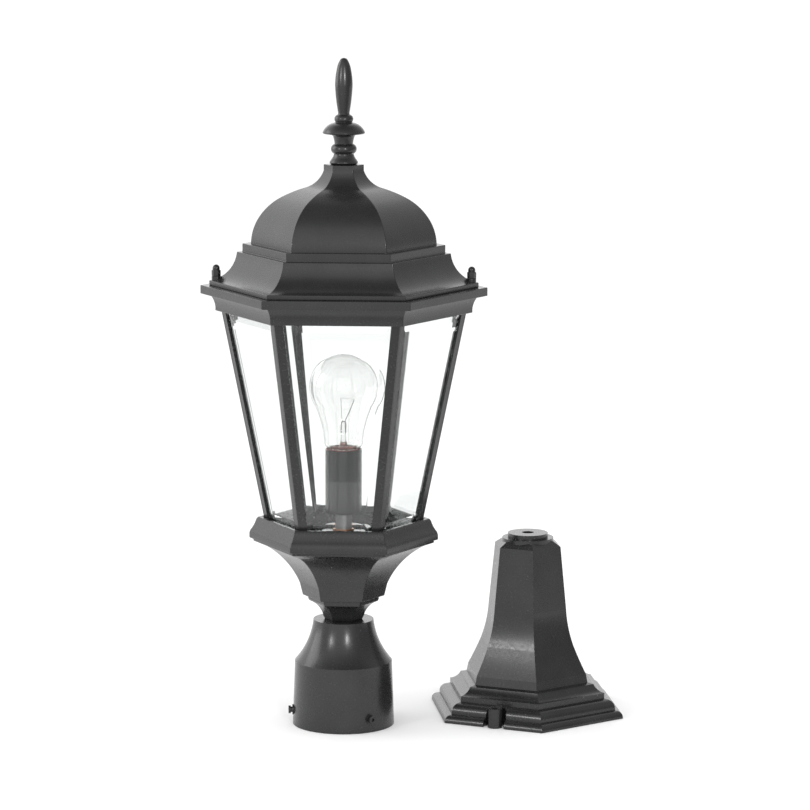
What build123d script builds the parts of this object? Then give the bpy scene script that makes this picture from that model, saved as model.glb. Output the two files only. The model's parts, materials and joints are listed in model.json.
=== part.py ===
"""Hexagonal post top lantern with its pier mount base, in millimetres.

The origin is the centre of the post fitter's open mouth, +Z is up, a flat of the lantern faces -Y and
two of its corners lie on the X axis.  Radii of hexagonal castings are measured to their corners.  In an
outline a third number is the bow of the arc that leads to the point: plus hollow, minus full.
"""
from build123d import *
from math import atan, cos, radians, sin
import os

# ---------------------------------------------------------------- driving dimensions
SIDES = 6

# post fitter, the round cup that slides over a 3 inch (76.2 mm) post
POST_BORE_R = 39.0
POST_BORE_DEPTH = 56.0
FITTER_MOUTH_R = 44.9
FITTER_SHOULDER_R = 42.9
FITTER_SHOULDER_Z = 57.0
FITTER_SHOULDER_BOW = 3.2
FITTER_TOP_R = 26.6
FITTER_HEIGHT = 94.1
FITTER_STOP = 3.4
FITTER_DOME_WALL = 3.8
FITTER_TOP_WALL = 5.1

# set screws that clamp the post
SET_SCREW_COUNT = 3
SET_SCREW_FIRST_ANGLE = -54.6
SET_SCREW_Z = 12.0
SET_SCREW_R = 2.5
SET_SCREW_TIP_GAP = 0.3
SET_SCREW_HEAD_R = 3.5
SET_SCREW_HEAD_LENGTH = 2.0
SET_SCREW_HEAD_GAP = 1.4
SET_SCREW_SOCKET_R = 1.7
SET_SCREW_SOCKET_DEPTH = 1.5
SET_SCREW_PAD_R = 4.6
SET_SCREW_PAD_RISE = 0.9

# long nipple that ties the fitter, the cup, the cage floor and the lamp holder together
NIPPLE_R = 4.9
NIPPLE_BORE_R = 3.5
NIPPLE_END = 3.0
LOCKNUT_R = 8.6
LOCKNUT_THICKNESS = 3.4

# body cup: neck, neck plate and the bell that carries the cage
NECK_FOOT_R = 16.6
NECK_WAIST_R = 18.0
NECK_WAIST_RISE = 2.4
NECK_HEAD_R = 30.4
NECK_HEIGHT = 16.4
NECK_BOW = 2.3
NECK_PLATE_R = 31.4
NECK_PLATE_RISE = 1.8
NECK_PLATE_THICKNESS = 2.5
CUP_FOOT_R = 36.2
CUP_FOOT_RISE = 0.7
CUP_WAIST_R = 38.9
CUP_WAIST_RISE = 11.0
CUP_BELL_R = 70.5
CUP_BELL_RISE = 33.7
CUP_BELL_BOW = 3.6
CUP_FLARE_R = 77.6
CUP_FLARE_RISE = 2.5
CUP_RIM_R = 79.8
CUP_RIM_RISE = 0.8
CUP_RIM_THICKNESS = 2.4
CUP_WALL = 3.0
CUP_FLOOR = 5.0
CUP_SPIGOT_R = 76.0
CUP_SPIGOT_WALL = 2.8
CUP_SPIGOT_DEPTH = 2.2

# bottom frame, the ring that the posts and panes stand in
FRAME_BAND_R = 83.4
FRAME_BAND_HEIGHT = 4.6
FRAME_COVE_FOOT_R = 82.4
FRAME_COVE_FOOT_RISE = 2.6
FRAME_COVE_HEAD_R = 77.2
FRAME_COVE_BOW = 0.5
FRAME_RIM_R = 75.7
FRAME_RIM_DROP = 1.9
FRAME_HEIGHT = 18.8
FRAME_MOUTH_GAP = 1.2
FRAME_SEAT_DEPTH = 6.7
FRAME_SEAT_WIDTH = 6.4
FRAME_WELL_DRAFT = 1.6
FRAME_WEB_HEIGHT = 4.9
FRAME_REBATE_R = 56.6
FRAME_REBATE_DEPTH = 2.5
FRAME_OPENING_R = 50.0

# floor plate and the cover that stands on it
FLOOR_THICKNESS = 1.2
FLOOR_GAP = 0.2
COVER_R = 19.7
COVER_HEIGHT = 7.8
COVER_EDGE_R = 1.0
COVER_WALL = 1.4
STEM_WASHER_R = 9.2
STEM_WASHER_THICKNESS = 1.7

# cage: corner posts and bevelled panes
CAGE_FOOT_R = 70.3
CAGE_HEAD_R = 107.0
CAGE_HEIGHT = 182.8
POST_LEG = 7.5
POST_THICKNESS = 1.7
POST_RIB_R = 2.2
POST_RIB_INSET = 5.2
POST_RIB_WEB_START = 0.5
POST_FIN_DEPTH = 10.5
POST_FIN_THICKNESS = 2.2
POST_FIN_CLIP_GAP = 1.0
PANE_SIDE_GAP = 0.4
PANE_THICKNESS = 3.0
PANE_EDGE = 1.7
PANE_HEAD_COVER = 4.0
PANE_FIELD_SIDE = 14.0
PANE_FIELD_DROP = 7.4
PANE_FIELD_RISE = 4.3

# clips in the cage corners and their screws
CLIP_HEIGHT = 8.0
CLIP_REACH = 13.4
CLIP_THICKNESS = 0.8
CLIP_HEAD_DROP = 7.7
CLIP_FOOT_RISE = 7.0
SCREW_R = 1.3
SCREW_HEAD_R = 2.3
SCREW_HEAD_HEIGHT = 1.4
SCREW_HOLE_GAP = 0.15
SCREW_HEAD_ACCESS = 20.0
CLIP_SCREW_BITE = 2.6
POST_SCREW_BITE = 5.0

# top frame
TOP_COVE_R = 112.5
TOP_COVE_HEIGHT = 14.8
TOP_COVE_HEAD_R = 117.7
TOP_COVE_BOW = 1.6
TOP_FLANGE_R = 125.5
TOP_FLANGE_THICKNESS = 7.5
TOP_SEAT_HEIGHT = 8.5
TOP_SEAT_THICKNESS = 3.0
TOP_POST_GAP = 0.7
TOP_OPENING_R = 96.0

# roof casting
ROOF_LIP_R = 117.7
ROOF_LIP_THICKNESS = 4.1
ROOF_SKIRT_R = 93.4
ROOF_SKIRT_RISE = 25.4
ROOF_SKIRT_BOW = 5.6
ROOF_BAND_R = 88.6
ROOF_BAND_HEIGHT = 7.4
DOME_FOOT_R = 81.1
DOME_FOOT_RISE = 1.0
DOME_SIDE_R = 74.3
DOME_SIDE_RISE = 21.6
DOME_SIDE_BOW = -1.4
DOME_CROWN_R = 54.1
DOME_CROWN_RISE = 18.3
DOME_CROWN_BOW = -1.65
DOME_HEAD_R = 34.4
DOME_HEAD_RISE = 8.0
DOME_HEAD_BOW = -0.5
ROOF_NECK_R = 17.6
ROOF_OGEE_RISE = 15.3
ROOF_OGEE_BOW = 2.7
ROOF_NECK_RISE = 5.3
ROOF_WALL = 3.0
ROOF_OPENING_R = 100.0

# studs and cap nuts that hold the roof down, on the two corners that lie on the X axis
STUD_R = 2.0
STUD_OFFSET = 111.5
STUD_ROOT = 6.0
STUD_REACH = 6.6
LUG_R = 4.0
LUG_RISE = 3.9
LUG_RIB_WIDTH = 3.4
LUG_RIB_LENGTH = 9.0
CAP_NUT_R = 4.04
CAP_NUT_HEX_HEIGHT = 5.3
CAP_NUT_DOME_R = 3.15
CAP_NUT_HEIGHT = 10.2
CAP_NUT_BORE = 8.4

# finial
FINIAL_BASE_R = 10.8
FINIAL_HEIGHT = 92.1
FINIAL_TURNINGS = [
    (12.0, 0.9),
    (12.0, 2.8, -0.4),
    (11.3, 4.0),
    (8.7, 8.6, 0.3),
    (8.7, 9.3),
    (8.0, 17.9, -2.9),
    (9.4, 24.4, 0.2),
    (10.3, 25.5),
    (17.6, 26.6),
    (18.4, 27.2),
    (18.4, 27.9),
    (8.2, 36.2, -1.7),
    (7.2, 36.6),
    (5.3, 43.2, -1.9),
    (4.9, 44.2),
    (7.65, 68.0, -0.4),
    (6.1, 82.9, -0.4),
    (3.6, 89.7, -0.35),
    (0.8, 91.9, -0.4),
]
FINIAL_STUD_R = 3.0
FINIAL_STUD_BITE = 12.0
FINIAL_STUD_END = 2.0
FINIAL_NUT_R = 5.8
FINIAL_NUT_THICKNESS = 3.2

# lamp holder
STEM_R = 7.3
STEM_HEIGHT = 10.4
SLEEVE_R = 16.0
SLEEVE_EDGE_R = 3.0
SLEEVE_WALL = 0.9
SLEEVE_HEIGHT = 57.1
LINER_WALL = 0.9
LINER_DROP = 0.5
SHELL_WALL = 0.7
SHELL_DROP = 3.4
SOCKET_BLOCK_HEIGHT = 25.9
SOCKET_WELL_R = 7.0
SOCKET_WELL_DEPTH = 14.0
CONTACT_R = 4.0
CONTACT_THICKNESS = 1.4

# clear A19 lamp with a 26 mm screw cap
LAMP_R = 30.1
LAMP_BELLY_HEIGHT = 53.9
LAMP_RIM_R = 13.6
LAMP_SHOULDER_R = 17.0
LAMP_SHOULDER_RISE = 5.4
LAMP_SHOULDER_BOW = -1.2
LAMP_NECK_R = 17.6
LAMP_NECK_HEIGHT = 13.0
LAMP_FLANK_R = 24.8
LAMP_FLANK_DROP = 17.0
LAMP_FLANK_BOW = 0.6
LAMP_PLUG_R = 12.4
LAMP_PLUG_LENGTH = 4.0
LAMP_WALL = 0.8
LAMP_CAP_R = 13.0
LAMP_CAP_LENGTH = 21.4
LAMP_INSULATOR_LENGTH = 3.2
LAMP_INSULATOR_HEAD_R = 6.0
LAMP_BUTTON_R = 4.6
LAMP_BUTTON_LENGTH = 1.4
LAMP_FLARE_R = 7.0
LAMP_FLARE_LENGTH = 14.0
LAMP_FLARE_BOW = 1.2
LAMP_PRESS_R = 2.8
LAMP_STEM_LENGTH = 24.0
SUPPORT_WIRE_R = 0.4
SUPPORT_SPREAD_LEFT = 2.4
SUPPORT_SPREAD_RIGHT = 9.4
SUPPORT_RISE = 20.0
FILAMENT_R = 0.45
FILAMENT_TILT = 0.6

# pier mount base, which stands beside the lantern
PIER_X = 161.7
PIER_Y = 60.0
PIER_TURN = -20.8
PIER_FOOT_R = 92.6
PIER_HEIGHT = 151.0
PIER_HEAD_R = 31.5
PIER_WALL = 4.0
PIER_CROWN_R = 24.6
PIER_CROWN_RISE = 4.4
PIER_RING_R = 22.9
PIER_RING_HEIGHT = 2.4
PIER_BOSS_R = 17.9
PIER_BOSS_HEIGHT = 4.1
ANCHOR_COUNT = 2
ANCHOR_FIRST_ANGLE = -90.0
ANCHOR_WEB_WIDTH = 6.0
ANCHOR_LUG_DROP = 0.5
ANCHOR_CIRCLE_R = 76.0
ANCHOR_LUG_R = 6.35
ANCHOR_LUG_HEIGHT = 17.0
ANCHOR_HOLE_R = 2.6
ANCHOR_RECESS_R = 9.8
PIER_STEPS = [
    (PIER_FOOT_R, 0.8),
    (86.3, 6.6, -1.7),
    (85.0, 6.9),
    (85.0, 9.0),
    (76.9, 16.2, -1.9),
    (74.6, 16.7),
    (74.6, 21.6),
    (64.3, 28.8, 1.5),
    (58.5, 29.8),
    (57.0, 37.2),
    (44.5, 62.6, 0.3),
    (37.4, 95.0, 1.1),
]

# clearances
FREE = 0.4
RUNNING = 0.05
OVERRUN = 1.0

# ---------------------------------------------------------------- levels that follow
COS30 = cos(radians(180 / SIDES))
SIN30 = sin(radians(180 / SIDES))
CORNERS = [360 / SIDES * n for n in range(SIDES)]
CLIP_CORNERS = [CORNERS[0], CORNERS[SIDES // 2]]

neck_top_z = FITTER_HEIGHT + NECK_HEIGHT
cup_foot_z = neck_top_z + NECK_PLATE_RISE + NECK_PLATE_THICKNESS + CUP_FOOT_RISE
cup_waist_z = cup_foot_z + CUP_WAIST_RISE
cup_bell_z = cup_waist_z + CUP_BELL_RISE
cup_flare_z = cup_bell_z + CUP_FLARE_RISE
cup_top_z = cup_flare_z + CUP_RIM_RISE + CUP_RIM_THICKNESS
cup_floor_z = cup_foot_z + CUP_FLOOR

frame_top_z = cup_top_z + FRAME_HEIGHT
frame_seat_z = frame_top_z - FRAME_SEAT_DEPTH
frame_web_z = cup_top_z + FRAME_WEB_HEIGHT
floor_z = frame_web_z - FRAME_REBATE_DEPTH
floor_top_z = floor_z + FLOOR_THICKNESS
cover_z = floor_top_z + COVER_HEIGHT
stem_z = cover_z + STEM_WASHER_THICKNESS
sleeve_z = stem_z + STEM_HEIGHT
sleeve_top_z = sleeve_z + SLEEVE_HEIGHT

cage_slope = (CAGE_HEAD_R - CAGE_FOOT_R) / CAGE_HEIGHT
corner_lean = atan(cage_slope)
face_lean = atan(cage_slope * COS30)
cove_z = frame_top_z + CAGE_HEIGHT
top_seat_z = cove_z + TOP_SEAT_HEIGHT
top_flange_z = cove_z + TOP_COVE_HEIGHT
roof_z = top_flange_z + TOP_FLANGE_THICKNESS

lip_z = roof_z + ROOF_LIP_THICKNESS
lug_z = lip_z + LUG_RISE
skirt_top_z = lip_z + ROOF_SKIRT_RISE
band_top_z = skirt_top_z + ROOF_BAND_HEIGHT
dome_side_z = band_top_z + DOME_FOOT_RISE + DOME_SIDE_RISE
dome_crown_z = dome_side_z + DOME_CROWN_RISE
dome_head_z = dome_crown_z + DOME_HEAD_RISE
ogee_top_z = dome_head_z + ROOF_OGEE_RISE
finial_z = ogee_top_z + ROOF_NECK_RISE

liner_r = SLEEVE_R - SLEEVE_WALL
shell_r = liner_r - LINER_WALL
socket_nut_z = sleeve_z + SLEEVE_WALL
nipple_end_z = socket_nut_z + LOCKNUT_THICKNESS
block_z = nipple_end_z + FREE
block_top_z = block_z + SOCKET_BLOCK_HEIGHT
lamp_z = block_top_z + CONTACT_THICKNESS
lamp_insulator_z = lamp_z + LAMP_BUTTON_LENGTH
lamp_cap_z = lamp_insulator_z + LAMP_INSULATOR_LENGTH
lamp_rim_z = lamp_cap_z + LAMP_CAP_LENGTH
lamp_plug_z = lamp_rim_z - LAMP_PLUG_LENGTH
lamp_stem_top_z = lamp_rim_z + LAMP_STEM_LENGTH
filament_z = lamp_stem_top_z + SUPPORT_RISE
post_way = Vector(sin(corner_lean), 0, cos(corner_lean))
clip_normal = Vector(cos(corner_lean), 0, -sin(corner_lean))


def post_r(z):
    """Corner radius of the cage's outside at a height."""
    return CAGE_FOOT_R + cage_slope * (z - frame_top_z)


# ---------------------------------------------------------------- shapes
def closed(points):
    """Face bounded by the points, the bowed ones reached by arcs."""
    edges = []
    here = points[0][:2]
    for point in points[1:] + points[:1]:
        there = point[:2]
        if len(point) == 3:
            edges.append(SagittaArc(here, there, point[2]))
        elif here != there:
            edges.append(Line(here, there))
        here = there
    return make_face(edges)


def turned(points):
    """Round solid with this outline of (radius, height)."""
    return revolve(Plane.XZ * closed(points), Axis.Z)


def hexagonal(points):
    """Hexagonal solid with this outline of (corner radius, height), from the axis round to the axis."""
    on_flat = [(point[0] * COS30,) + tuple(point[1:]) for point in points]
    half = closed(on_flat)
    face = half + mirror(half, about=Plane.YZ)
    reach = 2 * max(point[0] for point in points)
    prism = extrude(Plane.YZ * face, amount=reach, both=True)
    solid = prism
    for turn in (60, 120):
        solid = solid & Rot(0, 0, turn) * prism
    return solid


def tube(radius, bore, z, height):
    """Round tube standing at a height."""
    return disc(radius, z, height) - disc(bore, z - OVERRUN, height + 2 * OVERRUN)


def disc(radius, z, height):
    """Round bar standing at a height."""
    return Pos(0, 0, z) * Cylinder(radius, height, align=(Align.CENTER, Align.CENTER, Align.MIN))


def hex_bar(radius, z, height):
    """Hexagonal bar, corners on X, standing at a height."""
    return Pos(0, 0, z) * extrude(RegularPolygon(radius, SIDES), amount=height)


def nut(radius, bore, z, height):
    """Hexagonal nut standing at a height."""
    return hex_bar(radius, z, height) - disc(bore, z - OVERRUN, height + 2 * OVERRUN)


def rod(start, end, radius):
    """Round bar from one point to another."""
    path = Vector(*end) - Vector(*start)
    plane = Plane(origin=start, z_dir=path)
    return extrude(plane * Circle(radius), amount=path.length)


def around(solid):
    """The solid repeated at every corner."""
    return [Rot(0, 0, angle) * solid for angle in CORNERS]


def moved(points, inward, upward):
    """Outline moved toward the axis and up."""
    return [(point[0] - inward, point[1] + upward) + tuple(point[2:]) for point in points]


def without(solid, cutters):
    """Solid with a list of cutters taken away."""
    for cutter in cutters:
        solid = solid - cutter
    return solid


# ---------------------------------------------------------------- post fitter
def set_screw_angles():
    """Directions of the set screws round the fitter."""
    return [SET_SCREW_FIRST_ANGLE + 360 / SET_SCREW_COUNT * n for n in range(SET_SCREW_COUNT)]


def fitter_outside_r(z):
    """Radius of the fitter's tapered side at a height."""
    share = z / FITTER_SHOULDER_Z
    return FITTER_MOUTH_R + share * (FITTER_SHOULDER_R - FITTER_MOUTH_R)


def pad_face_r():
    """Distance of the set screw pads' faces from the axis."""
    return fitter_outside_r(SET_SCREW_Z) + SET_SCREW_PAD_RISE


def post_fitter():
    """Round cup over the post, with a stop ledge inside and three pads for set screws."""
    body = turned([
        (0, 0),
        (FITTER_MOUTH_R, 0),
        (FITTER_SHOULDER_R, FITTER_SHOULDER_Z),
        (FITTER_TOP_R, FITTER_HEIGHT, FITTER_SHOULDER_BOW),
        (0, FITTER_HEIGHT),
    ])
    for angle in set_screw_angles():
        inner = Vector(POST_BORE_R + OVERRUN, 0, SET_SCREW_Z)
        outer = Vector(pad_face_r(), 0, SET_SCREW_Z)
        body = body + Rot(0, 0, angle) * rod(inner, outer, SET_SCREW_PAD_R)
    hollow = turned([
        (0, -OVERRUN),
        (POST_BORE_R, -OVERRUN),
        (POST_BORE_R, POST_BORE_DEPTH),
        (POST_BORE_R - FITTER_STOP, POST_BORE_DEPTH),
        (FITTER_TOP_R - FITTER_DOME_WALL, FITTER_HEIGHT - FITTER_TOP_WALL, FITTER_SHOULDER_BOW),
        (0, FITTER_HEIGHT - FITTER_TOP_WALL),
    ])
    body = body - hollow - disc(NIPPLE_R + FREE, 0, FITTER_HEIGHT + OVERRUN)
    for angle in set_screw_angles():
        inner = Vector(POST_BORE_R - OVERRUN, 0, SET_SCREW_Z)
        outer = Vector(pad_face_r() + OVERRUN, 0, SET_SCREW_Z)
        body = body - Rot(0, 0, angle) * rod(inner, outer, SET_SCREW_R + RUNNING)
    return body


def set_screw(angle):
    """Screw that clamps the post, its tip just inside the fitter's wall."""
    tip = POST_BORE_R + SET_SCREW_TIP_GAP
    seat = pad_face_r() + SET_SCREW_HEAD_GAP
    face = seat + SET_SCREW_HEAD_LENGTH
    shank = rod((tip, 0, SET_SCREW_Z), (seat, 0, SET_SCREW_Z), SET_SCREW_R)
    head = rod((seat, 0, SET_SCREW_Z), (face, 0, SET_SCREW_Z), SET_SCREW_HEAD_R)
    bottom = Plane(origin=(face - SET_SCREW_SOCKET_DEPTH, 0, SET_SCREW_Z), z_dir=(1, 0, 0))
    hexagon = RegularPolygon(SET_SCREW_SOCKET_R, SIDES)
    socket = extrude(bottom * hexagon, amount=SET_SCREW_SOCKET_DEPTH + OVERRUN)
    return Rot(0, 0, angle) * (shank + head - socket)


# ---------------------------------------------------------------- nipple and nuts
def nipple():
    """Long hollow nipple from under the fitter's top to the lamp holder."""
    start = FITTER_HEIGHT - FITTER_TOP_WALL - LOCKNUT_THICKNESS - NIPPLE_END
    return tube(NIPPLE_R, NIPPLE_BORE_R, start, nipple_end_z - start)


def locknuts():
    """Nuts on the nipple: under the fitter's top, on the cup's floor and in the lamp holder."""
    under_fitter = FITTER_HEIGHT - FITTER_TOP_WALL - LOCKNUT_THICKNESS
    levels = [under_fitter, cup_floor_z, socket_nut_z]
    return [nut(LOCKNUT_R, NIPPLE_R, z, LOCKNUT_THICKNESS) for z in levels]


# ---------------------------------------------------------------- body cup
def body_cup():
    """Neck, neck plate and flaring cup in one hollow casting."""
    bell = [
        (CUP_WAIST_R, cup_waist_z),
        (CUP_BELL_R, cup_bell_z, CUP_BELL_BOW),
        (CUP_FLARE_R, cup_flare_z),
    ]
    plate_z = neck_top_z + NECK_PLATE_RISE
    outside = [
        (0, FITTER_HEIGHT),
        (NECK_FOOT_R, FITTER_HEIGHT),
        (NECK_WAIST_R, FITTER_HEIGHT + NECK_WAIST_RISE),
        (NECK_HEAD_R, neck_top_z, NECK_BOW),
        (NECK_PLATE_R, plate_z),
        (NECK_PLATE_R, plate_z + NECK_PLATE_THICKNESS),
        (CUP_FOOT_R, cup_foot_z),
    ]
    outside += bell
    outside += [
        (CUP_RIM_R, cup_flare_z + CUP_RIM_RISE),
        (CUP_RIM_R, cup_top_z),
        (0, cup_top_z),
    ]
    inside = [(0, cup_floor_z), (CUP_FOOT_R - CUP_WALL, cup_floor_z)]
    inside += moved(bell, CUP_WALL, CUP_WALL)
    inside += [(0, cup_flare_z + CUP_WALL)]
    mouth_z = cup_top_z - CUP_SPIGOT_DEPTH - FREE
    mouth = hex_bar(CUP_SPIGOT_R + FREE, mouth_z, CUP_SPIGOT_DEPTH + FREE + OVERRUN)
    bore = disc(NIPPLE_R + FREE, FITTER_HEIGHT - OVERRUN, cup_floor_z)
    return without(hexagonal(outside), [hexagonal(inside), mouth, bore])


# ---------------------------------------------------------------- bottom frame and floor
def along_face(distance, depth):
    """Point in the +X corner's section: distance along the face from the arris, depth in from the face."""
    return Vector(-distance * SIN30 - depth * COS30, distance * COS30 - depth * SIN30)


def post_axis(z):
    """Point on a post's screw rib at a height, for the corner on +X."""
    return Vector(post_r(z) - POST_RIB_INSET, 0, z)


def bottom_frame():
    """Ring that locates on the cup and takes the posts, the panes and the floor plate."""
    foot_r = post_r(frame_seat_z)
    well_r = foot_r - FRAME_SEAT_WIDTH
    outside = [
        (0, cup_top_z),
        (FRAME_BAND_R, cup_top_z),
        (FRAME_BAND_R, cup_top_z + FRAME_BAND_HEIGHT),
        (FRAME_COVE_FOOT_R, cup_top_z + FRAME_BAND_HEIGHT + FRAME_COVE_FOOT_RISE),
        (FRAME_COVE_HEAD_R, frame_top_z - FRAME_RIM_DROP, FRAME_COVE_BOW),
        (FRAME_RIM_R, frame_top_z),
        (0, frame_top_z),
    ]
    mouth_r = CAGE_FOOT_R + FRAME_MOUTH_GAP
    inside = [
        (0, cup_top_z - OVERRUN),
        (FRAME_OPENING_R, cup_top_z - OVERRUN),
        (FRAME_OPENING_R, floor_z),
        (FRAME_REBATE_R, floor_z),
        (FRAME_REBATE_R, frame_web_z),
        (well_r - FRAME_WELL_DRAFT, frame_web_z),
        (well_r, frame_seat_z),
        (mouth_r, frame_seat_z),
        (mouth_r, frame_top_z + OVERRUN),
        (0, frame_top_z + OVERRUN),
    ]
    spigot_z = cup_top_z - CUP_SPIGOT_DEPTH
    spigot = hex_bar(CUP_SPIGOT_R, spigot_z, CUP_SPIGOT_DEPTH)
    spigot_bore_r = CUP_SPIGOT_R - CUP_SPIGOT_WALL
    spigot = spigot - hex_bar(spigot_bore_r, spigot_z - OVERRUN, CUP_SPIGOT_DEPTH + 2 * OVERRUN)
    ring = hexagonal(outside) - hexagonal(inside) + spigot
    return without(ring, around(post_screw_hole(frame_seat_z, -1)))


def floor_plate():
    """Flat plate in the frame's rebate."""
    plate = hex_bar(FRAME_REBATE_R - FLOOR_GAP, floor_z, FLOOR_THICKNESS)
    return plate - disc(NIPPLE_R + FREE, floor_z - OVERRUN, FLOOR_THICKNESS + 2 * OVERRUN)


def stem_cover():
    """Inverted cup in the middle of the floor."""
    cup = disc(COVER_R, floor_top_z, COVER_HEIGHT)
    cup = fillet(cup.edges().group_by(Axis.Z)[-1], COVER_EDGE_R)
    cup = cup - disc(COVER_R - COVER_WALL, floor_top_z - OVERRUN, COVER_HEIGHT - COVER_WALL + OVERRUN)
    return cup - disc(NIPPLE_R + FREE, floor_top_z, COVER_HEIGHT + OVERRUN)


def stem_washer():
    """Washer under the lamp holder's stem."""
    return tube(STEM_WASHER_R, NIPPLE_R, cover_z, STEM_WASHER_THICKNESS)


# ---------------------------------------------------------------- cage
def corner_post(clipped):
    """Angle post for the corner on +X, with a screw rib and a fin in its inner corner."""
    low_r = post_r(frame_seat_z)
    height = top_seat_z - frame_seat_z
    leg = Vector(-SIN30, COS30)
    inner = -POST_THICKNESS / COS30
    across = Vector(-COS30, -SIN30) * POST_THICKNESS
    arris = Vector(0, 0)
    tip = leg * POST_LEG
    half = [arris, tip, tip + across, Vector(inner, 0)]
    mirrored = [Vector(point.X, -point.Y) for point in half]
    section = make_face(Polyline(*half, close=True)) + make_face(Polyline(*mirrored, close=True))
    section = section + Pos(-POST_RIB_INSET, 0) * Circle(POST_RIB_R)
    web = Rectangle(POST_RIB_INSET - 2 * POST_RIB_WEB_START, POST_RIB_R)
    section = section + Pos(-POST_RIB_INSET / 2, 0) * web
    profile = Pos(low_r, 0, frame_seat_z) * section
    post = extrude(profile, amount=height, dir=(cage_slope, 0, 1)) + post_fin()
    holes = [post_screw_hole(frame_seat_z, -1, SCREW_R), post_screw_hole(top_seat_z, 1, SCREW_R)]
    for z in clip_levels() if clipped else []:
        middle = clip_middle(z)
        holes.append(rod(middle - clip_normal * OVERRUN, middle + clip_normal * CLIP_SCREW_BITE, SCREW_R))
    return without(post, holes)


def post_fin():
    """Thin fin on a post's rib, from above the foot clip's level to below the head clip's."""
    foot_clip_z, head_clip_z = clip_levels()
    clip_room = CLIP_HEIGHT / 2 + POST_FIN_CLIP_GAP
    low_z = foot_clip_z + clip_room
    height = head_clip_z - clip_room - low_z
    fin = Rectangle(POST_FIN_DEPTH - POST_RIB_INSET, POST_FIN_THICKNESS, align=(Align.MAX, Align.CENTER))
    profile = Pos(post_r(low_z) - POST_RIB_INSET, 0, low_z) * fin
    return extrude(profile, amount=height, dir=(cage_slope, 0, 1))


def pane():
    """Bevelled pane for the face toward +X +Y, standing on the frame's seat against the posts."""
    low = post_r(frame_seat_z) * COS30 - POST_THICKNESS
    inward = (-cos(face_lean), 0, sin(face_lean))
    plane = Plane(origin=(low, 0, frame_seat_z), x_dir=(0, 1, 0), z_dir=inward)
    length = (cove_z + PANE_HEAD_COVER - frame_seat_z) / cos(face_lean)
    widen = cage_slope * SIN30 * cos(face_lean)
    edge_inset = side_inset()
    half_low = (post_r(frame_seat_z) * SIN30) - edge_inset
    field_drop = (PANE_HEAD_COVER + PANE_FIELD_DROP) / cos(face_lean)
    field_rise = (FRAME_SEAT_DEPTH + PANE_FIELD_RISE) / cos(face_lean)

    def sheet(bottom, top, inset):
        """Trapezium on the pane's plane."""
        low_half = half_low - inset + widen * bottom
        high_half = half_low - inset + widen * top
        corners = [(-low_half, -bottom), (low_half, -bottom), (high_half, -top), (-high_half, -top)]
        return make_face(Polyline(*corners, close=True))

    edge = sheet(0, length, 0)
    field = sheet(field_rise, length - field_drop, PANE_FIELD_SIDE - edge_inset)
    slab = extrude(plane * edge, amount=PANE_EDGE)
    raised = loft([plane.offset(PANE_EDGE) * edge, plane.offset(PANE_THICKNESS) * field], ruled=True)
    return Rot(0, 0, 30) * (slab + raised)


def side_inset():
    """Distance of a pane's edge from the posts' arris line, measured along the face."""
    return POST_RIB_INSET * SIN30 + POST_RIB_R + PANE_SIDE_GAP


def post_screw_hole(z, side, radius=SCREW_R + SCREW_HOLE_GAP):
    """Cutter along a post's rib through a seat, with a counterbore for the head on the far side."""
    way = post_way * side
    seat = post_axis(z)
    under_head = seat + way * TOP_SEAT_THICKNESS
    shaft = rod(seat - way * (POST_SCREW_BITE + FREE), under_head + way, radius)
    return shaft + rod(under_head, under_head + way * SCREW_HEAD_ACCESS, SCREW_HEAD_R + FREE)


def post_screw(z, side):
    """Screw up or down into a post's rib."""
    way = post_way * side
    seat = post_axis(z)
    under_head = seat + way * TOP_SEAT_THICKNESS
    shank = rod(seat - way * POST_SCREW_BITE, under_head, SCREW_R)
    return shank + rod(under_head, under_head + way * SCREW_HEAD_HEIGHT, SCREW_HEAD_R)


def clip_levels():
    """Heights of the clips' middles."""
    return [frame_seat_z + CLIP_FOOT_RISE, cove_z - CLIP_HEAD_DROP]


def clip_middle(z):
    """Middle of a clip's outer face, against the post's rib."""
    return Vector(post_r(z) - POST_RIB_INSET - POST_RIB_R, 0, z)


def clip(z):
    """Plate bent across a corner, its two legs lying along the panes."""
    pane_face = POST_THICKNESS + PANE_THICKNESS / cos(face_lean)
    depth = POST_RIB_INSET + POST_RIB_R
    bend = along_face((depth - pane_face * COS30) / SIN30, pane_face)
    tip = along_face(CLIP_REACH, pane_face)
    inner_tip = along_face(CLIP_REACH, pane_face + CLIP_THICKNESS)
    inner_bend = Vector(bend.X - CLIP_THICKNESS, bend.Y - CLIP_THICKNESS * SIN30 / COS30)
    half = [Vector(bend.X, 0), bend, tip, inner_tip, inner_bend, Vector(inner_bend.X, 0)]
    mirrored = [Vector(point.X, -point.Y) for point in half]
    section = make_face(Polyline(*half, close=True)) + make_face(Polyline(*mirrored, close=True))
    foot_z = z - CLIP_HEIGHT / 2
    plate = extrude(Pos(post_r(foot_z), 0, foot_z) * section, amount=CLIP_HEIGHT, dir=(cage_slope, 0, 1))
    middle = clip_middle(z)
    reach = clip_normal * (CLIP_THICKNESS + OVERRUN)
    return plate - rod(middle - reach, middle + reach, SCREW_R)


def clip_screw(z):
    """Screw through a clip into the post's rib."""
    tip = clip_middle(z) + clip_normal * CLIP_SCREW_BITE
    seat = clip_middle(z) - clip_normal * CLIP_THICKNESS * cos(corner_lean)
    return rod(seat, tip, SCREW_R) + rod(seat - clip_normal * SCREW_HEAD_HEIGHT, seat, SCREW_HEAD_R)


def at_clips(maker):
    """One piece at each clip level in the two corners that have clips."""
    return [Rot(0, 0, angle) * maker(z) for z in clip_levels() for angle in CLIP_CORNERS]


def post_screws():
    """Screws into both ends of every post."""
    return around(post_screw(frame_seat_z, -1)) + around(post_screw(top_seat_z, 1))


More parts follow.
